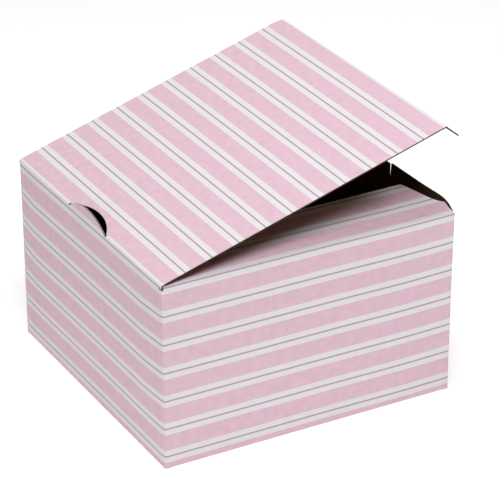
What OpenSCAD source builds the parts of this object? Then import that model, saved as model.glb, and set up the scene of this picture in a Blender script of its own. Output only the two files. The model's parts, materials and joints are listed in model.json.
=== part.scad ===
// Tuck-top gift carton for a hat: one creased blank of thin corrugated board,
// glued into a square tube, with an auto-lock bottom, two dust flaps and a lid
// with a tuck flap. Drawn half open: lid raised, dust flaps sprung up a little.

/* [Carton] */
// Outside width, hinge wall to far wall
carton_w = 230.5; // [160:0.5:300]
// Outside depth, front wall to back wall
carton_d = 228.5; // [160:0.5:300]
// Height of the fold line of the dust flaps
carton_h = 141.5; // [100:0.5:220]
// Thickness of the corrugated board
board_t = 1; // [0.8:0.1:1.5]
// Outside radius of the four upright corner bends
corner_r = 4; // [3:0.5:6]

/* [Lid] */
// How far the lid is raised above level
lid_angle = 16.9; // [10:0.1:60]
// Length of the lid from hinge fold to tuck fold
lid_len = 230.4; // [160:0.1:300]
// Length of the slit that frees each end of the tuck fold
slit_len = 16.2; // [12:0.1:20]
// Half length of the thumb cut-out along the hinge
thumb_half = 29.7; // [20:0.1:36]
// Depth of the thumb cut-out, measured from the hinge axis
thumb_deep = 9.5; // [7:0.1:12]

/* [Tuck flap] */
// Depth of the tuck flap
tuck_deep = 34; // [24:0.5:36]
// Fold of the tuck flap away from the plane of the lid
tuck_angle = 56.9; // [50:0.1:80]
// Distance from the lid's side edge to the tuck flap's end
tuck_inset = 23.5; // [23.3:0.1:30]
// Depth of the board that is crushed on the inside of the tuck fold
crush = 1.5; // [1.2:0.1:2.5]
// Radius of the tuck flap's outer corners
tuck_r = 6; // [3:0.5:12]

/* [Dust flaps] */
// How far the dust flaps are raised above level
dust_angle = 9; // [0:0.5:10]
// Depth of the dust flaps
dust_deep = 46.2; // [40:0.1:60]
// Depth of the square shoulder beside the tuck flap
shoulder_deep = 15.3; // [12:0.1:16]
// Angle of the bevelled edge beside the lid hinge
bevel = 30; // [30:1:45]

/* [Far wall] */
// Outward bulge of the top edge beside the dust flap's shoulder
bulge_side = 6.7; // [5.5:0.1:9]
// Outward bulge of the top edge at the centre tongue's slits
bulge_slit = 4.6; // [4:0.1:6]
// How far the centre tongue leans back inwards at its top
tongue_lean = 2.3; // [0:0.1:2.5]
// Half length of the centre tongue
tongue_half = 22.5; // [15:0.5:40]
// Depth of the slits beside the centre tongue
tongue_deep = 30; // [12:1:40]

/* [Bottom] */
// Reach of the long hooks of the auto-lock bottom past the middle line
hook = 22; // [10:1:40]
// Depth of the glued side flaps of the bottom
side_flap_deep = 62; // [40:1:90]

/* [Hidden] */
$fn = 64;

half_w = carton_w / 2;
half_d = carton_d / 2;
half_t = board_t / 2;
bead_r = half_t - 0.08;          // crushed core of a crease
seat_r = bead_r + 0.05;          // hollow that the core turns in
panel_start = half_t + 0.05;     // a panel's edge, measured from its hinge axis
kerf = 0.3;                      // play between panels that slide past each other
glue_t = 0.2;
glue_flap_w = 30;
hook_shift = 8;                  // puts the middle of the bottom on the front half

lid_axis_x = -half_w + half_t;
lid_axis_z = carton_h + kerf + half_t;
tuck_axis_u = lid_len - half_t;
dust_axis_y = -half_d + half_t;
dust_axis_z = carton_h - half_t;

thumb_r = (thumb_half ^ 2 + thumb_deep ^ 2) / (2 * thumb_deep);
tab_half = thumb_half - 1.7;
tab_high = thumb_deep - 0.5;
tab_r = (tab_half ^ 2 + tab_high ^ 2) / (2 * tab_high);

// the far wall bends into the glue flap, which lies inside the back wall
joint_y = half_d - board_t - glue_t;
near_end = -half_d + corner_r;
far_end = joint_y - corner_r;

bulge_peak = 34;                 // distance of the largest bulge from a corner
bulge_power = 1.8;               // how the bulge grows with height

pink = [0.86, 0.69, 0.76];
kraft = [0.45, 0.36, 0.26];
glue_colour = [0.85, 0.80, 0.66];

// ---------------------------------------------------------------- helpers

// A flat panel: an outline in (x, y), board_t thick, centred on z = 0
module sheet(thickness = board_t) {
    translate([0, 0, -thickness / 2])
        linear_extrude(thickness) children();
}

// An upright panel: an outline drawn in (y, z), standing at x .. x + board_t
module upright_along_y(x) {
    translate([x, 0, 0])
        rotate([90, 0, 90])
            linear_extrude(board_t) children();
}

// A cylinder along y, or along x with turn = 90, between from and to
module rod(r, from, to, turn = 0) {
    rotate([0, 0, turn])
        translate([0, to, 0])
            rotate([90, 0, 0])
                cylinder(r = r, h = to - from);
}

// Outline rounded off at its corners
module soft(r) {
    offset(r) offset(-r) children();
}

// ------------------------------------------------------------ upright walls

module wall_left() {
    color(pink) difference() {
        upright_along_y(-half_w)
            translate([-half_d + corner_r, 0])
                square([carton_d - 2 * corner_r, lid_axis_z]);
        for (side = [0, 1]) mirror([0, side, 0])
            translate([lid_axis_x, 0, lid_axis_z])
                rod(seat_r, thumb_half - 0.5, half_d + 1);
    }
}

// Half-moon tab that stays upright in the wall when the lid folds away
module thumb_tab() {
    color(pink)
        upright_along_y(-half_w)
            translate([0, lid_axis_z])
                intersection() {
                    translate([0, tab_high - tab_r]) circle(tab_r, $fn = 160);
                    translate([-tab_half, 0]) square([2 * tab_half, tab_high + 1]);
                }
}

// Front or back wall up to x = end, seen from the front: mirrored for the back
module side_wall(end) {
    start = -half_w + corner_r;
    difference() {
        translate([start, -half_d, 0])
            cube([end - start, board_t, dust_axis_z]);
        translate([0, dust_axis_y, dust_axis_z])
            rod(seat_r, -half_w, half_w, -90);
    }
}

module wall_front() {
    color(pink) side_wall(half_w - corner_r);
}

module wall_back() {
    color(pink) mirror([0, 1, 0]) side_wall(half_w);
}

// Outward bulge of the far wall's top edge at a distance y from the middle
function top_bulge(y) =
    let (d = min(y - near_end, far_end - y),
         run = -tongue_half - near_end - bulge_peak)
    d < bulge_peak
        ? bulge_side * sin(90 * d / bulge_peak)
        : max(bulge_slit, bulge_side - (bulge_side - bulge_slit) * (d - bulge_peak) / run);

// The bulge at height z: none at the foot, all of it at the top edge
function bulge(y, z) = top_bulge(y) * (z / carton_h) ^ bulge_power;

// Curved panel between y0 .. y1 and z0 .. z1 that leans back by lean at its top
module curved_panel(y0, y1, z0, z1, rows, lean = 0) {
    columns = ceil((y1 - y0) / 9);
    cols = columns + 1;
    points = [
        for (face = [0, 1], i = [0:rows], j = [0:columns])
        let (y = y0 + (y1 - y0) * j / columns, z = z0 + (z1 - z0) * i / rows)
        [half_w - board_t * face + bulge(y, z) - lean * (z - z0) / (z1 - z0), y, z]
    ];
    inner = (rows + 1) * cols;
    skin = [
        for (i = [0:rows - 1], j = [0:columns - 1])
        let (a = i * cols + j, b = a + 1, c = b + cols, d = a + cols)
        each [[a, c, b], [a, d, c], [inner + a, inner + b, inner + c],
              [inner + a, inner + c, inner + d]]
    ];
    foot_and_top = [
        for (j = [0:columns - 1])
        let (a = j, b = j + 1, c = rows * cols + j, d = c + 1)
        each [[a, b, inner + b], [a, inner + b, inner + a],
              [c, inner + d, d], [c, inner + c, inner + d]]
    ];
    ends = [
        for (i = [0:rows - 1])
        let (a = i * cols, b = a + cols, c = a + columns, d = c + cols)
        each [[a, inner + a, inner + b], [a, inner + b, b],
              [c, inner + d, inner + c], [c, d, inner + d]]
    ];
    polyhedron(points, concat(skin, foot_and_top, ends), convexity = 4);
}

module wall_right() {
    color(kraft) difference() {
        curved_panel(near_end, far_end, 0, carton_h, 12);
        translate([0, -tongue_half, carton_h - tongue_deep])
            cube([carton_w, 2 * tongue_half, carton_h]);
    }
}

module centre_tongue() {
    edge = tongue_half - kerf;
    color(kraft)
        curved_panel(-edge, edge, carton_h - tongue_deep, carton_h, 4, tongue_lean);
}

// Upright bend between two walls, set in from the front or back by inset
module corner_bend(x_side, y_side, inset = 0) {
    height = dust_axis_z - half_t;
    color(pink)
        mirror([x_side, 0, 0]) mirror([0, y_side, 0])
            translate([-half_w + corner_r, -half_d + corner_r + inset, 0])
                rotate([0, 0, 180])
                    rotate_extrude(angle = 90)
                        translate([corner_r - board_t, 0])
                            square([board_t, height]);
}

module corner_front_left() { corner_bend(0, 0); }
module corner_front_right() { corner_bend(1, 0); }
module corner_back_right() { corner_bend(1, 1, board_t + glue_t); }
module corner_back_left() { corner_bend(0, 1); }

// Maker's joint: a flap glued inside the back wall, at the far corner
module glue_flap() {
    foot = 5;
    head = carton_h - 8;
    taper = 12;
    color(kraft)
        translate([half_w - corner_r - glue_flap_w, joint_y, 0])
            rotate([90, 0, 0])
                linear_extrude(board_t)
                    polygon([[glue_flap_w, foot], [glue_flap_w, head],
                             [0, head - taper], [0, foot + taper]]);
}

module glue_line() {
    edge = 3;
    foot = 22;
    color(glue_colour)
        translate([half_w - corner_r - glue_flap_w + edge, half_d - board_t, foot])
            rotate([90, 0, 0])
                linear_extrude(glue_t)
                    square([glue_flap_w - 2 * edge, carton_h - 2 * foot]);
}

// ------------------------------------------------------------------ bottom

// Front half of the auto-lock bottom, clear of the corner bends; the slope in
// its free edge is shifted along x, so that the two halves interlock
module bottom_half_outline(shift) {
    play = 0.2;
    in_x = half_w - board_t - kerf;
    in_y = half_d - board_t;
    corner_x = half_w - corner_r - kerf;
    corner_y = half_d - corner_r;
    slope = 16;
    polygon([[-in_x, -corner_y], [-corner_x, -corner_y], [-corner_x, -in_y],
             [corner_x, -in_y], [corner_x, -corner_y], [in_x, -corner_y],
             [in_x, -hook - play], [shift + slope, -hook - play],
             [shift - slope, hook - play], [-in_x, hook - play]]);
}

module bottom_flap_front() {
    color(kraft) translate([0, 0, half_t]) sheet() bottom_half_outline(hook_shift);
}

module bottom_flap_back() {
    color(kraft) translate([0, 0, half_t])
        sheet() rotate(180) bottom_half_outline(-hook_shift);
}

// Side flap of the bottom, glued on top of the two halves, tapered to its end
module side_flap_outline(inset, deep) {
    in_x = half_w - board_t;
    long = half_d - board_t - glue_t - corner_r - inset;
    short = long - deep * 0.8;
    polygon([[-in_x + inset, -long], [-in_x + inset, long],
             [-in_x + deep, short], [-in_x + deep, -short]]);
}

module bottom_side(side) {
    color(kraft) mirror([side, 0, 0])
        translate([0, 0, board_t + glue_t + half_t])
            sheet() side_flap_outline(0, side_flap_deep);
}

module bottom_glue(side) {
    color(glue_colour) mirror([side, 0, 0])
        translate([0, 0, board_t + glue_t / 2])
            sheet(glue_t) side_flap_outline(12, side_flap_deep - 8);
}

module bottom_flap_left() { bottom_side(0); }
module bottom_flap_right() { bottom_side(1); }
module bottom_glue_left() { bottom_glue(0); }
module bottom_glue_right() { bottom_glue(1); }

// --------------------------------------------------------------------- lid

// Puts its children in the lid's plane: x runs from the hinge axis, y along it
module on_lid() {
    translate([lid_axis_x, 0, lid_axis_z])
        rotate([0, -lid_angle, 0]) children();
}

module lid_crease() {
    color(pink)
        translate([lid_axis_x, 0, lid_axis_z])
            for (side = [0, 1]) mirror([0, side, 0])
                rod(bead_r, thumb_half, half_d - corner_r);
}

module lid_outline() {
    edge = half_d - 0.4;
    difference() {
        translate([panel_start, -edge])
            square([lid_len - panel_start - half_t, 2 * edge]);
        translate([thumb_deep - thumb_r, 0]) circle(thumb_r, $fn = 160);
        translate([tuck_axis_u - panel_start, -half_d + slit_len])
            square([board_t + 2, carton_d - 2 * slit_len]);
    }
}

// Board that is crushed away on the inside of the tuck fold, along its axis
module crushed_corner() {
    reach = half_d - slit_len;
    translate([0, reach, 0])
        rotate([90, 0, 0])
            linear_extrude(2 * reach)
                polygon([[-crush, -board_t], [-crush, -half_t], [-half_t, 0],
                         [half_t, 0], [crush, -half_t], [crush, -board_t]]);
}

module lid_panel() {
    color(pink) on_lid() difference() {
        sheet() lid_outline();
        translate([tuck_axis_u, 0, 0]) crushed_corner();
    }
}

// Puts its children in the tuck flap's plane: x runs down from the tuck axis
module on_tuck() {
    on_lid()
        translate([tuck_axis_u, 0, 0])
            rotate([0, tuck_angle, 0]) children();
}

module tuck_crease() {
    reach = half_d - tuck_inset;
    color(pink) on_tuck() rod(bead_r, -reach, reach);
}

module tuck_flap() {
    reach = half_d - tuck_inset;
    color(kraft) on_tuck() difference() {
        sheet() intersection() {
            translate([-tuck_deep, -reach])
                soft(tuck_r) square([2 * tuck_deep, 2 * reach]);
            translate([panel_start, -reach])
                square([tuck_deep, 2 * reach]);
        }
        crushed_corner();
    }
}

// --------------------------------------------------------------- dust flaps

// Puts its children in the front dust flap's plane: y runs from its hinge axis
module on_dust() {
    translate([0, dust_axis_y, dust_axis_z])
        rotate([dust_angle, 0, 0]) children();
}

module dust_outline() {
    y0 = panel_start;
    shoulder = shoulder_deep - half_t;
    deep = dust_deep - half_t;
    flare = 6;                   // clear of the wall's upright corner bend
    left = -half_w + 4;
    right = half_w - board_t - kerf;
    polygon([[left, y0],
             [right, y0],
             [right, flare],
             [right + 1.2, shoulder - 1.2],
             [right + 0.9, shoulder],
             [right - 1.8, shoulder + 2.2],
             [right - 5.1, shoulder + 7.4],
             [right - 14.0, deep - 1.8],
             [right - 15.6, deep],
             [left + deep * tan(bevel) + 2, deep],
             [left + deep * tan(bevel), deep - 1.8]]);
}

module dust_crease() {
    translate([0, dust_axis_y, dust_axis_z])
        rod(bead_r, -half_w + corner_r, half_w - corner_r, -90);
}

module dust_flap() {
    on_dust() sheet() dust_outline();
}

module dust_crease_front() { color(pink) dust_crease(); }
module dust_flap_front() { color(pink) dust_flap(); }
module dust_crease_back() { color(pink) mirror([0, 1, 0]) dust_crease(); }
module dust_flap_back() { color(pink) mirror([0, 1, 0]) dust_flap(); }

wall_left();
wall_front();
wall_right();
wall_back();
thumb_tab();
centre_tongue();
corner_front_left();
corner_front_right();
corner_back_right();
corner_back_left();
glue_flap();
glue_line();
bottom_flap_front();
bottom_flap_back();
bottom_flap_left();
bottom_flap_right();
bottom_glue_left();
bottom_glue_right();
lid_crease();
lid_panel();
tuck_crease();
tuck_flap();
dust_crease_front();
dust_flap_front();
dust_crease_back();
dust_flap_back();
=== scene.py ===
"""Looks for the tuck-top hat carton: creased corrugated board, printed outside and brown kraft inside.

The walls, the lid and the flaps at the top are built as real board: an outer liner, a fluted medium
and an inner liner, so that the print carries over each fold. The folds are short bent strips that lie
between the panels they join, and they and the upright corners have a plain core. The bottom and the
glued joint are the frame's own solids with materials put on them.
"""
import json
from math import acos, atan2, ceil, cos, exp, hypot, pi, radians, sin, sqrt, tan

import bmesh
import bpy
from mathutils import Matrix, Vector


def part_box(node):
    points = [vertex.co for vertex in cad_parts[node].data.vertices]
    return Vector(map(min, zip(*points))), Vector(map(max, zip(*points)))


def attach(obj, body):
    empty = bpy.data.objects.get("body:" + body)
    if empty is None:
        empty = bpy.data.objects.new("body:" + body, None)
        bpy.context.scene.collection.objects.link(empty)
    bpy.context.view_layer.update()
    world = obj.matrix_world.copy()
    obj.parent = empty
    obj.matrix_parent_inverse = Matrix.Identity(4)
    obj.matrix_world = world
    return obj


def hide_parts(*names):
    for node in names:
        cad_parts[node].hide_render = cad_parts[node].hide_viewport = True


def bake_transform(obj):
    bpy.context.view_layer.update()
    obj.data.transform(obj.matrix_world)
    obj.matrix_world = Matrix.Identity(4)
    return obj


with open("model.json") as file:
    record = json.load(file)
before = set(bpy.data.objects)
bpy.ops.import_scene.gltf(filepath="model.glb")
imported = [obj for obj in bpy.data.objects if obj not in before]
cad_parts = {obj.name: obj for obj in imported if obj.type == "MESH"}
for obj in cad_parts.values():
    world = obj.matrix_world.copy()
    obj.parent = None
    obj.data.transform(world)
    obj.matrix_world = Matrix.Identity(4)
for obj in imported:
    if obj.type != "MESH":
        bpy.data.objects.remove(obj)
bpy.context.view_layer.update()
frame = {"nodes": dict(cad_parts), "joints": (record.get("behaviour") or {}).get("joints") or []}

MM = 0.001

# ------------------------------------------------------------------ sizes from the frame

JOINTS = {j["name"]: j for j in frame["joints"]}


def axis_of(joint):
    """Where a joint's axis is, as (x, y, z) in metres."""
    return Vector(JOINTS[joint]["pos_m"])


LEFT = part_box("wall_left")[0].x
RIGHT = -LEFT
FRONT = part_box("wall_front")[0].y
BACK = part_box("wall_back")[1].y
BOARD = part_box("wall_front")[1].y - FRONT
CORNER_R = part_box("wall_front")[0].x - LEFT
FOLD_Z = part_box("wall_right")[1].z

LID_AXIS = axis_of("lid_close")
TUCK_AXIS = axis_of("tuck_turn_in")
DUST_AXIS = axis_of("dust_settle_front")
HALF = BOARD / 2
LID_ANGLE = atan2(TUCK_AXIS.z - LID_AXIS.z, TUCK_AXIS.x - LID_AXIS.x)
LID_LEN = hypot(TUCK_AXIS.x - LID_AXIS.x, TUCK_AXIS.z - LID_AXIS.z) + HALF
TUCK_ANGLE = radians(56.9)
DUST_ANGLE = radians(9.0)

SLIT = 16.2 * MM                 # from each end of the lid to the nick in its free edge
TUCK_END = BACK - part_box("tuck_flap")[1].y
TUCK_DEEP = 35 * MM
TUCK_R = 3 * MM
DUST_DEEP = 46.2 * MM
THUMB_HALF = 29.7 * MM
THUMB_DEEP = 10.0 * MM
TAB_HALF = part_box("thumb_tab")[1].y
TAB_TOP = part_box("thumb_tab")[1].z
TONGUE_HALF = 22.5 * MM
TONGUE_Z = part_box("centre_tongue")[0].z
BULGE_PEAK = 28 * MM             # where the far wall's bulge is largest, from its end
BULGE_SIDE = 6.7 * MM
BULGE_SLIT = 5.4 * MM
TONGUE_LEAN = 1.3 * MM
BULGE_POWER = 1.8
GLUE = 0.2 * MM

# the board itself
LINER = 0.18 * MM
MEDIUM = 0.12 * MM
FLUTE = 2.4 * MM
DUST_REACH = 2.6 * MM            # how far a fold's bent strip runs to each side of it
HINGE_REACH = 3 * MM
TUCK_REACH = 4.2 * MM            # room for the pinched board when the flap is turned right in
DUST_BEND = 1.3 * MM             # outer radius of each fold
HINGE_BEND = 1.5 * MM
TUCK_BEND = 1.2 * MM
CORNER_SLACK = 0.5 * MM

# the lid is not quite true: its near side is longer than its far side, with a trace of twist
LID_GROW_NEAR = 2.2 * MM
LID_GROW_FAR = -0.6 * MM
LID_TWIST_NEAR = radians(-0.06)

# the hinge wall's belly, and the front right corner's lean outwards at its top
LEFT_BELLY = 2.0 * MM
HINGE_BELLY = 0.2 * MM           # less at the fold, so that the lid still folds right back
BELLY_RISE = 32 * MM
CORNER_LEAN = 1.9 * MM
LEAN_RUN = 60 * MM               # how far the lean reaches along the far wall
LEAN_AT_FOOT = 0.15              # the share of the lean that is left at the foot
LEAN_POWER = 1.5
WALL_BOW = 0.5 * MM
LID_BOW = 0.5 * MM
TONGUE_POWER = 1.6
DUST_SAG = 0.3 * MM
NICK_HALF = 0.4 * MM
NICK_DEEP = 1.4 * MM


# the print's small shifts, which differ from panel to panel
LID_CREEP_START = 0.65 * MM
LID_CREEP_END = 0.2 * MM
LID_CREEP_FROM = 100 * MM
LID_CREEP_RUN = 140 * MM
LID_CREEP_NEAR = 1.4 * MM        # the stripes run a little askew towards the near side
LEFT_SHIFT_NEAR = 1.0 * MM
LEFT_SHIFT_FAR = 2.4 * MM
FRONT_SHIFT = 0.62 * MM
FRONT_HUMP = 0.65 * MM
FRONT_HUMP_AT = 190 * MM
FRONT_HUMP_WIDE = 38 * MM
CORNER_SHIFT = 0.7 * MM
FAR_WALL_PAPER = 0.3             # metres along the blank, so that its paper grain is its own

# a dust flap's free end: (distance from the fold corner, how far it stands out past its root)
SHOULDER = 15.3 * MM
DUST_EDGE = (
    (0, 0),
    (6 * MM, 0),
    (SHOULDER - 1.2 * MM, 1.2 * MM),
    (SHOULDER, 0.9 * MM),
    (SHOULDER + 2.2 * MM, -1.8 * MM),
    (SHOULDER + 7.4 * MM, -5.1 * MM),
    (DUST_DEEP - 1.8 * MM, -14.0 * MM),
    (DUST_DEEP, -15.6 * MM),
)

STEP = 0.02 * MM                 # the width given to a straight cut between two stations
HAIR = 1e-6                      # keeps two stations from falling together
CRACK = 1e-5                     # the height left where a panel is cut down to its root
SHARP_FROM = radians(32)         # edges that bend more than this are drawn sharp
FOLD_STATIONS = 6 * MM


# ------------------------------------------------------------------ small helpers

def mix(p, q, w):
    return p + (q - p) * w


def spread(p, q, count):
    """count + 1 values from p to q."""
    return [mix(p, q, i / count) for i in range(count + 1)]


def ease(v):
    """0 up to 0, 1 from 1 on, smooth between."""
    v = min(1.0, max(0.0, v))
    return v * v * (3 - 2 * v)


def circle_through(half, high):
    """Radius of the arc that spans 2 * half and rises by high."""
    return (half * half + high * high) / (2 * high)


class Sheet:
    """Collects the closed layers of one piece of board and turns them into an object."""

    def __init__(self, name, materials):
        self.name = name
        self.materials = materials
        self.points = []
        self.blank = []
        self.faces = []
        self.slots = []

    def layer(self, columns, place, print_at, near, far, slots):
        """One closed skin. columns is [(across, [along, ...]), ...]; place(across, along, depth) gives
        a point; near and far are depths or functions of across; slots are the material numbers of the
        near face, the far face and the rim."""
        rows = len(columns[0][1])
        base = len(self.points)
        for depth in (near, far):
            for across, alongs in columns:
                d = depth(across) if callable(depth) else depth
                for along in alongs:
                    self.points.append(place(across, along, d))
                    self.blank.append(print_at(across, along) + (d / BOARD,))
        count = len(columns)
        other = count * rows

        def at(i, j, side):
            return base + side * other + i * rows + j

        def face(corners, slot):
            self.faces.append(corners)
            self.slots.append(slot)

        for i in range(count - 1):
            for j in range(rows - 1):
                quad = (at(i, j, 0), at(i + 1, j, 0), at(i + 1, j + 1, 0), at(i, j + 1, 0))
                face(quad, slots[0])
                face(tuple(c + other for c in reversed(quad)), slots[1])
            for j in (0, rows - 1):
                edge = (at(i, j, 0), at(i + 1, j, 0), at(i + 1, j, 1), at(i, j, 1))
                face(edge if j else tuple(reversed(edge)), slots[2])
        for i in (0, count - 1):
            for j in range(rows - 1):
                edge = (at(i, j, 0), at(i, j + 1, 0), at(i, j + 1, 1), at(i, j, 1))
                face(tuple(reversed(edge)) if i else edge, slots[2])

    def build(self):
        mesh = bpy.data.meshes.new(self.name)
        mesh.from_pydata([tuple(p) for p in self.points], [], self.faces)
        blank = mesh.attributes.new("blank", "FLOAT_VECTOR", "POINT")
        blank.data.foreach_set("vector", [c for b in self.blank for c in b])
        for material in self.materials:
            mesh.materials.append(material)
        mesh.polygons.foreach_set("material_index", self.slots)
        bm = bmesh.new()
        bm.from_mesh(mesh)
        bmesh.ops.dissolve_degenerate(bm, dist=1e-7, edges=bm.edges)
        bmesh.ops.recalc_face_normals(bm, faces=bm.faces)
        bm.to_mesh(mesh)
        bm.free()
        mesh.shade_smooth()
        mesh.set_sharp_from_angle(angle=SHARP_FROM)
        piece = bpy.data.objects.new(self.name, mesh)
        bpy.context.scene.collection.objects.link(piece)
        return piece


PRINT, KRAFT, CORE, RIM = 0, 1, 2, 3


# by default a panel's rim is the cut edge, whose brown is painted near-black as shade of the flute hollows
def board(name, across, rows_at, place, print_at, flute_rows=0, folded=False, edge="cut_edge"):
    """A panel of board. across is the list of stations across the flutes, rows_at(across) gives the
    stations along them, and the flutes get finer stations of their own: flute_rows steps along them, or
    the panel's own stations for 0. A folded panel has a plain core instead."""
    piece = Sheet(name, [MATERIALS[m] for m in ("print", "kraft", "medium", edge)])
    columns = [(a, rows_at(a)) for a in across]
    piece.layer(columns, place, print_at, 0.0, LINER, (PRINT, CORE, RIM))
    piece.layer(columns, place, print_at, BOARD - LINER, BOARD, (CORE, KRAFT, RIM))
    if folded:
        squeeze = 0.1 * MM
        core = (LINER + squeeze, BOARD - LINER - squeeze)
        piece.layer(columns, place, print_at, *core, (CORE, CORE, CORE))
        return piece.build()
    swing = (BOARD - 2 * LINER - MEDIUM) / 2

    def wave(a):
        return HALF + swing * sin(2 * pi * a / FLUTE)

    fine = []
    inset = 0.15 * MM
    for a0, a1 in zip(across, across[1:]):
        steps = max(1, ceil((a1 - a0) / (FLUTE / 10)))
        for k in range(steps):
            a = mix(a0, a1, k / steps)
            fine.append((a, thin(mix_rows(rows_at(a0), rows_at(a1), k / steps), flute_rows, inset)))
    last = across[-1]
    fine.append((last, thin(rows_at(last), flute_rows, inset)))
    piece.layer(fine, place, print_at, lambda a: wave(a) - MEDIUM / 2, lambda a: wave(a) + MEDIUM / 2,
                (CORE, CORE, CORE))
    return piece.build()


def mix_rows(first, second, w):
    return [mix(p, q, w) for p, q in zip(first, second)]


def thin(rows, count, inset):
    """Fewer stations along the flutes, from just inside one end to just inside the other."""
    low, high = rows[0] + inset, rows[-1] - inset
    if high <= low:
        low = high = (rows[0] + rows[-1]) / 2
        high += HAIR
    if count == 0:
        return [low] + rows[1:-1] + [high]
    return spread(low, high, count)


# ------------------------------------------------------------------ materials

class Nodes:
    """Short ways to add and join shader nodes."""

    def __init__(self, name):
        self.material = bpy.data.materials.new(name)
        self.material.use_nodes = True
        self.tree = self.material.node_tree
        self.tree.nodes.clear()
        self.out = self.new("ShaderNodeOutputMaterial")
        self.shader = self.new("ShaderNodeBsdfPrincipled")
        self.link(self.shader.outputs[0], self.out.inputs[0])

    def new(self, kind, **settings):
        node = self.tree.nodes.new(kind)
        for key, value in settings.items():
            setattr(node, key, value)
        return node

    def link(self, a, b):
        self.tree.links.new(a, b)

    def put(self, socket, value):
        if isinstance(value, bpy.types.NodeSocket):
            self.link(value, socket)
        else:
            socket.default_value = value

    def math(self, operation, *values):
        node = self.new("ShaderNodeMath", operation=operation)
        for socket, value in zip(node.inputs, values):
            self.put(socket, value)
        return node.outputs[0]

    def ramp(self, value, low, high):
        """0 below low, 1 above high, smooth between."""
        node = self.new("ShaderNodeMapRange", interpolation_type="SMOOTHSTEP")
        self.put(node.inputs["Value"], value)
        node.inputs["From Min"].default_value = low
        node.inputs["From Max"].default_value = high
        return node.outputs[0]

    def blend(self, factor, first, second, mode="MIX"):
        node = self.new("ShaderNodeMix", data_type="RGBA", blend_type=mode)
        self.put(node.inputs[0], factor)
        self.put(node.inputs[6], first)
        self.put(node.inputs[7], second)
        return node.outputs[2]

    def noise(self, where, scale, detail=2.0, rough=0.5):
        node = self.new("ShaderNodeTexNoise")
        self.put(node.inputs["Vector"], where)
        node.inputs["Scale"].default_value = scale
        node.inputs["Detail"].default_value = detail
        node.inputs["Roughness"].default_value = rough
        return node.outputs["Fac"]

    def stretch(self, where, by):
        node = self.new("ShaderNodeVectorMath", operation="MULTIPLY")
        self.put(node.inputs[0], where)
        node.inputs[1].default_value = by
        return node.outputs[0]

    def blank(self):
        """The place on the flat printed blank: across, along, depth."""
        node = self.new("ShaderNodeAttribute", attribute_name="blank")
        split = self.new("ShaderNodeSeparateXYZ")
        self.link(node.outputs["Vector"], split.inputs[0])
        return node.outputs["Vector"], split.outputs

    def bump(self, height, strength, distance):
        node = self.new("ShaderNodeBump")
        node.inputs["Strength"].default_value = strength
        node.inputs["Distance"].default_value = distance
        self.put(node.inputs["Height"], height)
        self.link(node.outputs[0], self.shader.inputs["Normal"])


STRIPE_PERIOD = 21.86 * MM
STRIPE_LINE = FOLD_Z - 0.1 * MM  # a thin line lies on the top fold
LINE_HALF = 0.6 * MM
LID_LINE = 18.6 * MM             # first thin line on the lid, from the hinge
LID_PERIOD = 21.55 * MM
WHITE_TO = 4.75 * MM
INK_PINK = (0.745, 0.515, 0.605, 1)
INK_LINE = (0.47, 0.33, 0.40, 1)
WHITE_LINER = (0.80, 0.77, 0.79, 1)
KRAFT_BROWN = (0.15, 0.086, 0.046, 1)
MEDIUM_BROWN = (0.16, 0.095, 0.060, 1)
# the board's brown cut edge, darkened to near-black: painted shade standing for the shaded flute hollows
SHADED_CUT_BROWN = (0.075, 0.045, 0.040, 1)
CUT_CREAM = (0.74, 0.68, 0.60, 1)
GLUE_CREAM = (0.55, 0.50, 0.36, 1)


def tint(colour, by):
    """A colour made lighter or darker, with its alpha left at 1."""
    return tuple(c * by for c in colour[:3]) + (1,)


def printed_stripes(n, across, along, where):
    """Colour of the print: wide pink bands, and between them a white band with a thin line in it."""
    edge_wander = n.math("MULTIPLY", n.math("SUBTRACT", n.noise(where, 900.0, 3.0), 0.5), 0.25 * MM)
    height = n.math("ADD", along, edge_wander)
    turns = n.math("DIVIDE", n.math("SUBTRACT", height, STRIPE_LINE), STRIPE_PERIOD)
    off_line = n.math("ABSOLUTE", n.math("SUBTRACT", turns, n.math("ROUND", turns)))
    from_line = n.math("MULTIPLY", off_line, STRIPE_PERIOD)
    soft = 0.12 * MM
    not_line = n.ramp(from_line, LINE_HALF - soft, LINE_HALF + soft)
    wide = n.ramp(from_line, WHITE_TO - soft, WHITE_TO + soft)
    fleck = n.noise(where, 2600.0, 3.0, 0.7)
    cloud = n.noise(where, 160.0, 3.0, 0.55)
    ink = n.math("ADD", n.math("MULTIPLY", fleck, 0.5), n.math("MULTIPLY", cloud, 0.5))
    thin_ink = n.ramp(ink, 0.30, 0.72)
    pink = n.blend(thin_ink, tint(INK_PINK, 0.93), tint(INK_PINK, 1.07))
    white = n.blend(thin_ink, tint(WHITE_LINER, 0.955), WHITE_LINER)
    ground = n.blend(wide, white, pink)
    return n.blend(not_line, INK_LINE, ground), fleck, cloud


def make_print():
    n = Nodes("printed_liner")
    where, (across, along, depth) = n.blank()
    colour, fleck, cloud = printed_stripes(n, across, along, where)
    n.link(colour, n.shader.inputs["Base Color"])
    rough = n.math("ADD", n.math("MULTIPLY", fleck, 0.18), 0.55)
    n.link(rough, n.shader.inputs["Roughness"])
    n.shader.inputs["Specular IOR Level"].default_value = 0.28
    washboard = n.math("SINE", n.math("MULTIPLY", across, 2 * pi / FLUTE))
    grain = n.noise(n.stretch(where, (1.0, 0.35, 1.0)), 2200.0, 4.0, 0.65)
    height = n.math("ADD", n.math("MULTIPLY", washboard, 0.12), n.math("MULTIPLY", grain, 0.5))
    n.bump(n.math("ADD", height, n.math("MULTIPLY", cloud, 0.6)), 0.35, 0.06 * MM)
    return n.material


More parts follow.
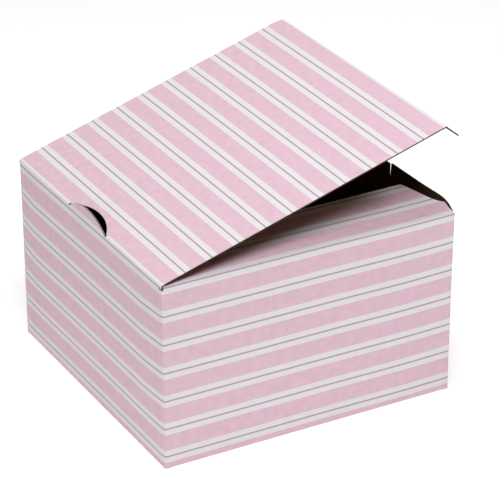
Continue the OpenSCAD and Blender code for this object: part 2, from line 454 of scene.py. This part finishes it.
def make_kraft(name, base, dark_by=0.78, light_by=1.18):
    """Unprinted liner: short fibres, cloudy formation, and the flutes showing faintly through."""
    n = Nodes(name)
    where, (across, along, depth) = n.blank()
    fibres = n.noise(n.stretch(where, (1.0, 0.22, 1.0)), 1900.0, 5.0, 0.7)
    cloud = n.noise(where, 120.0, 4.0, 0.6)
    show = n.math("SINE", n.math("MULTIPLY", across, 2 * pi / FLUTE))
    tone = n.math("ADD", n.math("MULTIPLY", fibres, 0.55), n.math("MULTIPLY", cloud, 0.45))
    tone = n.math("ADD", tone, n.math("MULTIPLY", show, 0.035))
    factor = n.ramp(tone, 0.28, 0.74)
    n.link(n.blend(factor, tint(base, dark_by), tint(base, light_by)), n.shader.inputs["Base Color"])
    n.link(n.math("ADD", n.math("MULTIPLY", fibres, 0.15), 0.72), n.shader.inputs["Roughness"])
    n.shader.inputs["Specular IOR Level"].default_value = 0.2
    height = n.math("ADD", n.math("MULTIPLY", show, 0.3), n.math("MULTIPLY", fibres, 0.7))
    n.bump(height, 0.5, 0.08 * MM)
    return n.material


MATERIALS = {
    "print": make_print(),
    "kraft": make_kraft("kraft_liner", KRAFT_BROWN),
    "medium": make_kraft("fluted_medium", MEDIUM_BROWN),
    # cut edge: partly the board's brown edge, darkened to near-black as painted shade of the flutes'
    # shaded insides
    "cut_edge": make_kraft("cut_edge", SHADED_CUT_BROWN),
    "liner_edge": make_kraft("white_liner_edge", CUT_CREAM, 0.88, 1.1),
}


# ------------------------------------------------------------------ folds

class Fold:
    """The cross-section of a bend between two flat panels, in the plane across the fold.
    corner is where the two outer faces would meet; come and go are the directions in and out."""

    def __init__(self, corner, come, go, radius, reach):
        self.corner = corner
        self.come = come.normalized()
        self.go = go.normalized()
        turn = acos(max(-1, min(1, self.come.dot(self.go))))
        side = 1 if self.come.x * self.go.y - self.come.y * self.go.x > 0 else -1
        self.side = side
        self.tangent = radius * tan(turn / 2)
        self.centre = corner - self.come * self.tangent + self.left(self.come) * radius * side
        self.radius = radius
        self.turn = turn
        self.reach = reach
        self.inner_tangent = BOARD * tan(turn / 2)
        self.inner_corner = corner - self.come * self.inner_tangent + self.left(self.come) * BOARD * side
        self.straight = reach - self.tangent
        self.length = 2 * self.straight + radius * turn

    @staticmethod
    def left(d):
        return Vector((-d.y, d.x))

    def outer(self, s):
        """Point on the outer face at share s of the fold's length, from 0 to 1."""
        run = s * self.length
        if run <= self.straight:
            return self.corner - self.come * (self.reach - run)
        if run >= self.length - self.straight:
            return self.corner + self.go * (self.reach - (self.length - run))
        angle = (run - self.straight) / self.radius * self.side
        arm = -self.left(self.come) * self.radius * self.side
        c, q = cos(angle), sin(angle)
        return self.centre + Vector((arm.x * c - arm.y * q, arm.x * q + arm.y * c))

    def inner(self, s):
        """Point on the inner face: two straights that meet in a pinched corner."""
        start = self.corner - self.come * self.reach + self.left(self.come) * BOARD * self.side
        end = self.corner + self.go * self.reach + self.left(self.go) * BOARD * self.side
        if s <= 0.5:
            return start.lerp(self.inner_corner, s * 2)
        return self.inner_corner.lerp(end, s * 2 - 1)

    def point(self, s, depth):
        return self.outer(s).lerp(self.inner(s), depth / BOARD)

    def across(self):
        """Direction from the first panel to the second, square to the fold's middle line."""
        return (self.come + self.go).normalized()

    def middle(self):
        return self.outer(0.5)


def fold_pieces(name, fold, spans, lift, prints, cad_node):
    """The two bent strips of a fold. lift(point2d, across) gives the place in space, spans are the
    stretches along the fold, prints the print's place at the fold's start and end, and cad_node the
    crease that the strips are drawn in place of."""
    for half, (s0, s1) in enumerate(((0.0, 0.5), (0.5, 1.0))):
        label = f"{name}_{'ab'[half]}"
        piece = Sheet(label, [MATERIALS[m] for m in ("print", "kraft", "medium", "liner_edge")])

        def place(a, s, d):
            return lift(fold.point(s, d), a)

        def print_at(a, s):
            return (a, mix(prints[0](a), prints[1](a), s))

        for a0, a1 in spans:
            count = max(2, ceil((a1 - a0) / FOLD_STATIONS))
            columns = [(a, spread(s0, s1, 10)) for a in spread(a0, a1, count)]
            piece.layer(columns, place, print_at, 0.0, LINER, (PRINT, CORE, RIM))
            piece.layer(columns, place, print_at, LINER * 1.3, BOARD - LINER * 1.3, (CORE, CORE, CORE))
            piece.layer(columns, place, print_at, BOARD - LINER, BOARD, (CORE, KRAFT, KRAFT))
        piece = piece.build()
        direction = fold.across()
        middle = fold.middle()
        if half == 0:
            near = max((fold.point(0.0, d) - middle).dot(direction) for d in (0.0, BOARD))
            start, end = middle + direction * near, middle
        else:
            far = min((fold.point(1.0, d) - middle).dot(direction) for d in (0.0, BOARD))
            start, end = middle, middle + direction * far
        first, last = tuple(lift(start, 0.0)), tuple(lift(end, 0.0))
        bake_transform(piece)
        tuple(first)
        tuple(last)
    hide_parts(cad_node)


# ------------------------------------------------------------------ lid surface

LID_OUT = Vector((-sin(LID_ANGLE), 0, cos(LID_ANGLE)))
LID_GO = Vector((cos(LID_ANGLE), 0, sin(LID_ANGLE)))
LID_HINGE_Z = LID_AXIS.z + HALF * (1 / cos(LID_ANGLE) - tan(LID_ANGLE))


def up2(p, y):
    """From the plane (x, z) to space."""
    return Vector((p.x, y, p.y))


def lid_true(p, y):
    """The lid's own crookedness, growing from nothing at the hinge: longer at the near side, and lower
    there by a hair."""
    arm = Vector((p.x - LID_AXIS.x, p.z - LID_AXIS.z))
    far = max(0.0, arm.length / LID_LEN)
    side = (y - FRONT) / (BACK - FRONT)
    grow = 1 + mix(LID_GROW_NEAR, LID_GROW_FAR, side) / LID_LEN * min(1, far)
    angle = LID_TWIST_NEAR * (1 - side) * min(1, far * 4)
    c, s = cos(angle), sin(angle)
    arm = Vector((arm.x * c - arm.y * s, arm.x * s + arm.y * c)) * grow
    return Vector((LID_AXIS.x + arm.x, y, LID_AXIS.z + arm.y))


def lid_place(y, u, d):
    """u is measured from the hinge's outer corner along the lid's outer face."""
    start = Vector((LEFT, 0, LID_HINGE_Z))
    bow = LID_BOW * sin(pi * min(1, max(0, u / LID_LEN))) * cos(pi * y / (BACK - FRONT))
    p = start + LID_GO * u - LID_OUT * (d - bow)
    p.x -= hinge_belly(y) * (1 - ease(u / LID_LEN))
    return lid_true(p, y)


def belly_share(y):
    return ease((y - FRONT) / BELLY_RISE) * ease((BACK - y) / BELLY_RISE)


def hinge_belly(y):
    """How far the hinge line stands out over the true wall."""
    return HINGE_BELLY * belly_share(y)


def lid_corner_u():
    """Where the outer faces of lid and tuck flap meet."""
    return LID_LEN + HALF * tan(TUCK_ANGLE / 2) - HALF + CORNER_SLACK


HINGE = Fold(Vector((LEFT, LID_HINGE_Z)), Vector((0, 1)), Vector((cos(LID_ANGLE), sin(LID_ANGLE))),
             HINGE_BEND, HINGE_REACH)


def lid_print(u, y):
    """Where a place on the lid lies on the print, which was registered panel by panel."""
    near_share = (BACK - y) / (BACK - FRONT)
    creep = mix(LID_CREEP_START, LID_CREEP_END, ease((u - LID_CREEP_FROM) / LID_CREEP_RUN))
    creep -= LID_CREEP_NEAR * u / LID_LEN * max(0.0, near_share) ** 1.3
    creep += hinge_belly(y) * (1 - ease(u / LID_LEN))
    return STRIPE_LINE + STRIPE_PERIOD * (1 + (u - creep - LID_LINE) / LID_PERIOD)


def left_print(a, b):
    """The same for the hinge wall; a is measured from the front corner."""
    return b + mix(LEFT_SHIFT_NEAR, LEFT_SHIFT_FAR, ease((a - 40 * MM) / (200 * MM)))


def front_print(a, b):
    return b + FRONT_SHIFT + FRONT_HUMP * exp(-((a - FRONT_HUMP_AT) / FRONT_HUMP_WIDE) ** 2)


# ------------------------------------------------------------------ walls and corners

def wall_bow(a, b, span, amount):
    """Slight natural bow of a wall between its corners and its foot."""
    return amount * sin(pi * min(1, max(0, a / span))) * sin(pi * min(1, max(0, b / FOLD_Z)))


FOOT_R = BOARD
CORNER_SQUARE = 0.5


def foot(b, d):
    """Turns the lowest stretch of a wall under, on a quarter circle: (inward, height) of a point
    that is at height b on the flat board; b below FOOT_R runs round the bend."""
    if b >= FOOT_R:
        return d, b
    angle = min(pi / 2, (FOOT_R - b) / FOOT_R)
    r = max(FOOT_R - d, 0.02 * MM)
    return FOOT_R - r * cos(angle), FOOT_R - r * sin(angle)


FOOT_B = FOOT_R * (1 - pi / 2)


def lean(x, y, z):
    """How far the front right corner stands out to the right, dying away along both walls."""
    along_front = ease((x - LEFT) / (RIGHT - LEFT))
    along_right = 1 - ease((y - FRONT) / LEAN_RUN)
    up = (max(0.0, z) / FOLD_Z) ** LEAN_POWER
    return CORNER_LEAN * along_front * along_right * (LEAN_AT_FOOT + (1 - LEAN_AT_FOOT) * up)


def front_place(sign):
    """Front wall for sign 1, back wall for sign -1; a is x measured from the left outer corner."""
    def place(a, b, d):
        inward, z = foot(b, d)
        bow = wall_bow(a, b, RIGHT - LEFT, WALL_BOW)
        p = Vector((LEFT + a, sign * (FRONT + inward - bow), z))
        p.x += lean(p.x, p.y, z)
        return p
    return place


def left_place(a, b, d):
    inward, z = foot(b, d)
    y = FRONT + a
    below_fold = ease((LID_HINGE_Z - HINGE.reach - b) / (22 * MM))
    belly = mix(HINGE_BELLY, LEFT_BELLY, below_fold) * belly_share(y) * ease(max(0.0, b) / (FOLD_Z * 0.55))
    return Vector((LEFT + inward - belly, y, z))


def top_bulge(y):
    """How far the far wall's top edge stands out. The frame's own wall does much the same, with its
    peaks 6 mm further in."""
    near, far = FRONT + CORNER_R, right_end()
    d = min(y - near, far - y)
    if d <= 0:
        return 0.0
    if d < BULGE_PEAK:
        return BULGE_SIDE * sin(pi / 2 * d / BULGE_PEAK)
    run = -TONGUE_HALF - near - BULGE_PEAK
    return max(BULGE_SLIT, BULGE_SIDE - (BULGE_SIDE - BULGE_SLIT) * (d - BULGE_PEAK) / run)


def right_end():
    """Where the far wall bends into the glue flap, which lies inside the back wall."""
    return BACK - BOARD - GLUE - CORNER_R


def right_place(a, b, d):
    inward, z = foot(b, d)
    y = FRONT + a
    bulge = top_bulge(y) * (max(0.0, b) / FOLD_Z) ** BULGE_POWER
    if abs(y) < TONGUE_HALF and b > TONGUE_Z:
        bulge -= TONGUE_LEAN * ((b - TONGUE_Z) / (FOLD_Z - TONGUE_Z)) ** TONGUE_POWER
    return Vector((RIGHT - inward + bulge + lean(RIGHT, y, z), y, z))


def corner_place(x_side, y_side, inset):
    """An upright corner, squarer than a round one; a runs from 0 to 1 round the bend."""
    centre = Vector((x_side * (RIGHT - CORNER_R), y_side * (BACK - CORNER_R - inset), 0))

    def place(a, b, d):
        angle = a * pi / 2
        r = CORNER_R - d
        x, y = max(0.0, cos(angle)) ** CORNER_SQUARE, max(0.0, sin(angle)) ** CORNER_SQUARE
        p = centre + Vector((x_side * r * x, y_side * r * y, b))
        p.x += lean(p.x, p.y, b)
        return p
    return place


def wall_rows(top):
    """Stations up a wall: the turned-under foot, then the face up to top."""
    return spread(FOOT_B, FOOT_R, 6)[:-1] + spread(FOOT_R, top, 14)


def make_walls():
    width, depth = RIGHT - LEFT, BACK - FRONT
    dust_top = DUST_FOLD.corner.y - DUST_FOLD.reach
    for name, sign, end in (("front", 1, width - CORNER_R), ("back", -1, width)):
        piece = board(f"{name}_wall_board", spread(CORNER_R, end, 40), lambda a: wall_rows(dust_top),
                      front_place(sign), lambda a, b: (a, front_print(a, b)))
        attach(piece, "carton")
        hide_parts(f"wall_{name}")

    hinge_top = LID_HINGE_Z - HINGE.reach
    tab_r = circle_through(TAB_HALF, TAB_TOP - LID_AXIS.z)
    centre = depth / 2

    def left_top(a):
        y = a - centre
        if abs(y) <= TAB_HALF:
            return LID_AXIS.z + sqrt(max(0, tab_r ** 2 - y * y)) - (tab_r - (TAB_TOP - LID_AXIS.z))
        if abs(y) <= THUMB_HALF:
            return LID_AXIS.z - 0.3 * MM
        return hinge_top

    def left_rows(a):
        rows = wall_rows(hinge_top)[:-1]
        if left_top(a) > hinge_top:
            return rows + spread(hinge_top, left_top(a) + HAIR, 3)
        return rows + spread(hinge_top - CRACK, hinge_top, 3)

    stations = (spread(CORNER_R, centre - THUMB_HALF, 20)
                + [centre - THUMB_HALF + STEP, centre - TAB_HALF - STEP]
                + spread(centre - TAB_HALF, centre + TAB_HALF, 48)
                + [centre + TAB_HALF + STEP, centre + THUMB_HALF - STEP]
                + spread(centre + THUMB_HALF, depth - CORNER_R, 20))
    piece = board("left_wall_board", stations, left_rows, left_place,
                  lambda a, b: (a, left_print(a, b)), edge="liner_edge")
    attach(piece, "carton")
    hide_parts("wall_left", "thumb_tab")

    slit = 0.25 * MM
    near, far = centre - TONGUE_HALF, centre + TONGUE_HALF
    stations = (spread(CORNER_R, near - slit, 26) + [near, near + slit]
                + spread(near + slit, far - slit, 12)[1:-1]
                + [far - slit, far] + spread(far + slit, right_end() - FRONT, 26))

    def right_rows(a):
        low = wall_rows(TONGUE_Z)
        top = TONGUE_Z + CRACK if a in (near, far) else FOLD_Z
        return low + spread(TONGUE_Z, top, 10)[1:]

    piece = board("right_wall_board", stations, right_rows, right_place,
                  lambda a, b: (FAR_WALL_PAPER + a, b))
    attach(piece, "carton")
    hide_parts("wall_right", "centre_tongue")

    for name, x_side, y_side, inset in (("front_left", -1, -1, 0), ("front_right", 1, -1, 0),
                                        ("back_right", 1, 1, BOARD + GLUE), ("back_left", -1, 1, 0)):
        piece = board(f"corner_{name}_bend", spread(0, 1, 20), lambda a: spread(0.35 * MM, dust_top, 14),
                      corner_place(x_side, y_side, inset),
                      lambda a, b: (a * CORNER_R * pi / 2, b + CORNER_SHIFT), folded=True)
        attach(piece, "carton")
        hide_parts(f"corner_{name}")


# ------------------------------------------------------------------ dust flaps

def dust_fold():
    """Fold of the front dust flap in the plane (y, z)."""
    axis = Vector((DUST_AXIS.y, DUST_AXIS.z))
    go = Vector((cos(DUST_ANGLE), sin(DUST_ANGLE)))
    # the outer faces are HALF away from the axis on the outside
    outward = Vector((-go.y, go.x))
    on_flap = axis + outward * HALF
    k = (FRONT - on_flap.x) / go.x
    corner = on_flap + go * k
    return Fold(corner, Vector((0, 1)), go, DUST_BEND, DUST_REACH)


DUST_FOLD = dust_fold()


def dust_outline(s):
    """(left, right) ends of a dust flap at distance s from its fold corner."""
    right0 = RIGHT - BOARD - 0.3 * MM
    left = LEFT + 4 * MM + max(0, s - 1.5 * MM) * tan(radians(30))
    right = right0 + DUST_EDGE[-1][1]
    for (s0, x0), (s1, x1) in zip(DUST_EDGE, DUST_EDGE[1:]):
        if s <= s1:
            right = right0 + mix(x0, x1, (s - s0) / (s1 - s0))
            break
    return left, right


def make_dust_flaps():
    fold = DUST_FOLD
    marks = [fold.reach, 8 * MM, 14.1 * MM, 14.7 * MM, 15.3 * MM, 16 * MM, 17.5 * MM, 20 * MM, 22.7 * MM,
             30 * MM, 38 * MM, DUST_DEEP - 1.8 * MM, DUST_DEEP - 0.9 * MM, DUST_DEEP]
    top = fold.corner.y - fold.reach

    def wall_print(x):
        return front_print(x - LEFT, top)

    def flap_print(x, s=fold.reach):
        return wall_print(x) + fold.length + s - fold.reach

    for name, sign in (("front", 1), ("back", -1)):
        def lift(p, x, sign=sign):
            return Vector((x + lean(x, sign * p.x, FOLD_Z), sign * p.x, p.y))

        fold_pieces(f"dust_fold_{name}", fold, [(LEFT + 1.5 * MM, RIGHT - 0.9 * MM)], lift,
                    (wall_print, flap_print),
                    f"dust_crease_{name}")
        piece = Sheet(f"dust_flap_{name}_board",
                      [MATERIALS[m] for m in ("print", "kraft", "medium", "liner_edge")])
        inward = Vector((fold.go.y, -fold.go.x))

        def place(s, share, d):
            left, right = dust_outline(s)
            x = mix(left, right, share)
            sag = DUST_SAG * sin(pi * share) * (s / DUST_DEEP) ** 2
            p = fold.corner + fold.go * s + inward * (d + sag)
            return lift(p, x)

        def print_at(s, share):
            x = mix(*dust_outline(s), share)
            return (x, flap_print(x, s))

        columns = [(s, spread(0, 1, 24)) for s in marks]
        piece.layer(columns, place, print_at, 0.0, LINER, (PRINT, CORE, RIM))
        piece.layer(columns, place, print_at, BOARD - LINER, BOARD, (CORE, KRAFT, RIM))
        add_dust_flutes(piece, place, print_at)
        piece = piece.build()
        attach(piece, f"dust_{name}")
        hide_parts(f"dust_flap_{name}")


def add_dust_flutes(piece, place, print_at):
    """The flutes run away from the fold; each column is one station across them."""
    swing = (BOARD - 2 * LINER - MEDIUM) / 2
    x0, x1 = dust_outline(DUST_FOLD.reach)
    count = ceil((x1 - x0 + 4 * MM) / (FLUTE / 10))

    def reach_at(x):
        """How far from the fold the flap goes at this x."""
        low, high = DUST_FOLD.reach, DUST_DEEP - 0.15 * MM
        if inside(x, high):
            return high
        if not inside(x, low):
            return None
        for _ in range(24):
            middle = (low + high) / 2
            if inside(x, middle):
                low = middle
            else:
                high = middle
        return low

    def inside(x, s):
        left, right = dust_outline(s)
        return left + 0.1 * MM < x < right - 0.1 * MM

    columns = []
    for i in range(count + 1):
        x = mix(x0, x1 + 1.2 * MM, i / count)
        deep = reach_at(x)
        if deep is not None:
            columns.append((x, spread(DUST_FOLD.reach, deep, 4)))

    def place_x(x, s, d):
        left, right = dust_outline(s)
        return place(s, (x - left) / (right - left), d)

    piece.layer(columns, place_x, lambda x, s: print_at(s, 0.5),
                lambda x: HALF + swing * sin(2 * pi * x / FLUTE) - MEDIUM / 2,
                lambda x: HALF + swing * sin(2 * pi * x / FLUTE) + MEDIUM / 2, (CORE, CORE, CORE))


# ------------------------------------------------------------------ lid and tuck flap

def make_lid():
    depth = BACK - FRONT
    edge = depth / 2 - 0.4 * MM
    hinge_spans = [(-edge, -THUMB_HALF), (THUMB_HALF, edge)]
    fold_pieces("lid_fold", HINGE, hinge_spans, lid_fold_place,
                (lambda y: left_print(y - FRONT, LID_HINGE_Z - HINGE.reach),
                 lambda y: lid_print(HINGE.reach, y)),
                "lid_crease")

    thumb_r = circle_through(THUMB_HALF, THUMB_DEEP)
    corner_u = lid_corner_u()
    fold_u = corner_u - TUCK_REACH
    chamfer_long, chamfer_in = 8 * MM, 1.6 * MM

    def low_u(y):
        if abs(y) >= THUMB_HALF:
            return HINGE.reach
        return max(1.0 * MM, HALF + sqrt(max(0, thumb_r ** 2 - y * y)) - (thumb_r - THUMB_DEEP))

    def high_u(y):
        if abs(y) <= strip:
            return fold_u
        if abs(y - slit_end) < NICK_HALF:
            return corner_u - NICK_DEEP
        return corner_u - max(0, (y - (edge - chamfer_in)) / chamfer_in) * chamfer_long

    strip = depth / 2 - TUCK_END
    slit_end = depth / 2 - SLIT
    half = (spread(0, THUMB_HALF, 28) + [THUMB_HALF + STEP] + spread(THUMB_HALF + 3 * MM, strip, 20)
            + [strip + 0.1 * MM] + [slit_end + k * MM for k in (-0.42, -0.38, 0, 0.38, 0.42)]
            + spread(slit_end + 3 * MM, edge - chamfer_in, 4) + [edge])
    stations = [-a for a in reversed(half[1:])] + half

    def rows(y):
        middle = spread(14 * MM, fold_u - 8 * MM, 20)
        return spread(low_u(y), middle[0], 3)[:-1] + middle + spread(middle[-1], high_u(y), 4)[1:]

    piece = board("lid_board", stations, rows, lid_place, lambda y, u: (y, lid_print(u, y)), flute_rows=6)
    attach(piece, "lid")
    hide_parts("lid_panel")

    start = Vector((LEFT, LID_HINGE_Z)) + Vector((LID_GO.x, LID_GO.z)) * corner_u
    down = LID_ANGLE - TUCK_ANGLE
    fold = Fold(start, Vector((LID_GO.x, LID_GO.z)), Vector((cos(down), sin(down))), TUCK_BEND, TUCK_REACH)
    reach = depth / 2 - TUCK_END
    fold_pieces("tuck_fold", fold, [(-reach, reach)], lambda p, y: lid_true(up2(p, y), y),
                (lambda y: lid_print(fold_u, y), lambda y: lid_print(fold_u, y) + fold.length),
                "tuck_crease")
    tuck_print = lid_print(fold_u, 0.0) + fold.length - fold.reach
    inward = Vector((fold.go.y, -fold.go.x))

    def tuck_place(y, q, d):
        p = fold.corner + fold.go * q + inward * d
        return lid_true(up2(p, y), y)

    def tuck_high(y):
        over = abs(y) - (reach - TUCK_R)
        if over <= 0:
            return TUCK_DEEP
        return TUCK_DEEP - TUCK_R + sqrt(max(0, TUCK_R ** 2 - over ** 2))

    half = (spread(0, reach - TUCK_R, 20)
            + [reach - TUCK_R * (1 - sin(w)) for w in spread(0, pi / 2, 10)[1:]])
    stations = [-a for a in reversed(half[1:])] + half
    piece = board("tuck_flap_board", stations,
                  lambda y: spread(fold.reach, TUCK_DEEP - TUCK_R, 4)[:-1]
                  + spread(TUCK_DEEP - TUCK_R, tuck_high(y), 4),
                  tuck_place, lambda y, q: (y, tuck_print + q), flute_rows=2)
    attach(piece, "tuck")
    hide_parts("tuck_flap")


def lid_fold_place(p, y):
    return Vector((p.x - hinge_belly(y), y, p.y))


# ------------------------------------------------------------------ bottom and glue

def object_print_material():
    """The print on the underside: stripes run on round the foot of the front and back walls."""
    n = Nodes("printed_underside")
    place = n.new("ShaderNodeTexCoord").outputs["Object"]
    split = n.new("ShaderNodeSeparateXYZ")
    n.link(place, split.inputs[0])
    from_wall = n.math("SUBTRACT", n.math("ABSOLUTE", split.outputs[1]), BACK)
    colour, fleck, cloud = printed_stripes(n, split.outputs[0], from_wall, place)
    facing = n.new("ShaderNodeNewGeometry")
    normal = n.new("ShaderNodeSeparateXYZ")
    n.link(facing.outputs["Normal"], normal.inputs[0])
    up = n.ramp(normal.outputs[2], -0.6, -0.4)
    kraft = n.blend(cloud, tint(KRAFT_BROWN, 0.8), tint(KRAFT_BROWN, 1.2))
    n.link(n.blend(up, colour, kraft), n.shader.inputs["Base Color"])
    n.shader.inputs["Roughness"].default_value = 0.7
    n.bump(fleck, 0.4, 0.05 * MM)
    return n.material


def cad_kraft_material(name, base):
    n = Nodes(name)
    place = n.new("ShaderNodeTexCoord").outputs["Object"]
    fibres = n.noise(place, 1500.0, 5.0, 0.7)
    cloud = n.noise(place, 90.0, 3.0, 0.6)
    tone = n.ramp(n.math("MULTIPLY", n.math("ADD", fibres, cloud), 0.5), 0.3, 0.7)
    n.link(n.blend(tone, tint(base, 0.8), tint(base, 1.2)), n.shader.inputs["Base Color"])
    n.shader.inputs["Roughness"].default_value = 0.8
    n.bump(fibres, 0.4, 0.06 * MM)
    return n.material


def dress(node, material):
    mesh = frame["nodes"][node].data
    mesh.materials.clear()
    mesh.materials.append(material)


def make_bottom():
    underside = object_print_material()
    kraft = cad_kraft_material("kraft_inside", KRAFT_BROWN)
    glue = cad_kraft_material("paper_glue", GLUE_CREAM)
    for node in ("bottom_flap_front", "bottom_flap_back"):
        dress(node, underside)
    for node in ("bottom_flap_left", "bottom_flap_right", "glue_flap"):
        dress(node, kraft)
    for node in ("glue_line", "bottom_glue_left", "bottom_glue_right"):
        dress(node, glue)


make_walls()
make_dust_flaps()
make_lid()
make_bottom()


# ------------------------------------------------------------------ floor, light, camera

FLOOR_HALF = 6.0
FLOOR_WHITE = (0.95, 0.95, 0.95, 1)
FLOOR_GLOW = 0.34
AIM = (0, 0, 0.1)
# name, place, size, power in watts
SOFTBOXES = (
    ("softbox_top", (-0.25, 0.25, 2.0), (0.9, 0.9), 17.5),
    ("softbox_high", (0.1, -0.75, 1.9), (0.5, 0.5), 4),
    ("softbox_key", (-0.55, -1.05, 1.8), (0.8, 0.8), 15),
    ("softbox_left", (-1.8, -0.5, 0.8), (1.2, 1.0), 3),
    ("softbox_right", (0.85, -0.85, 1.7), (0.6, 0.6), 10),
)


def make_floor():
    bm = bmesh.new()
    bmesh.ops.create_grid(bm, x_segments=1, y_segments=1, size=FLOOR_HALF)
    mesh = bpy.data.meshes.new("floor")
    bm.to_mesh(mesh)
    bm.free()
    floor = bpy.data.objects.new("floor", mesh)
    bpy.context.scene.collection.objects.link(floor)
    n = Nodes("pale_floor")
    n.shader.inputs["Base Color"].default_value = FLOOR_WHITE
    n.shader.inputs["Emission Color"].default_value = FLOOR_WHITE
    n.shader.inputs["Roughness"].default_value = 0.9
    n.shader.inputs["Emission Strength"].default_value = FLOOR_GLOW
    mesh.materials.append(n.material)


def area_light(name, place, size, power):
    light = bpy.data.lights.new(name, "AREA")
    light.shape = "RECTANGLE"
    light.size = size[0]
    light.size_y = size[1]
    light.energy = power
    lamp = bpy.data.objects.new(name, light)
    lamp.location = place
    lamp.rotation_euler = (Vector(AIM) - Vector(place)).to_track_quat("-Z", "Y").to_euler()
    bpy.context.scene.collection.objects.link(lamp)


def make_light():
    world = bpy.data.worlds.new("studio")
    bpy.context.scene.world = world
    world.use_nodes = True
    background = world.node_tree.nodes["Background"]
    background.inputs[0].default_value = (1, 1, 1, 1)
    background.inputs[1].default_value = 0.02
    for softbox in SOFTBOXES:
        area_light(*softbox)


def make_camera():
    """A long lens from the front left, a little above; the angles are the view's own."""
    azimuth, elevation, roll = radians(-28.574), radians(27.037), radians(-0.321)
    lens, sensor, distance = 201.37, 36.0, 2.0370
    back = Vector((sin(azimuth) * cos(elevation), -cos(azimuth) * cos(elevation), sin(elevation)))
    right = back.cross(Vector((0, 0, 1))).normalized() * -1
    up = back.cross(right)
    turn = Matrix.Rotation(roll, 3, back)
    right, up = turn @ right, turn @ up
    target = Vector((15.233, 1.454, 85.929)) * MM
    data = bpy.data.cameras.new("camera")
    data.lens = lens
    data.sensor_width = sensor
    data.clip_start = 0.05
    data.clip_end = 50
    camera = bpy.data.objects.new("camera", data)
    basis = Matrix((right, up, back)).transposed().to_4x4()
    camera.matrix_world = Matrix.Translation(target + back * distance) @ basis
    bpy.context.scene.collection.objects.link(camera)
    bpy.context.scene.camera = camera
    bpy.context.scene.view_settings.view_transform = "Standard"


make_floor()
make_light()
make_camera()
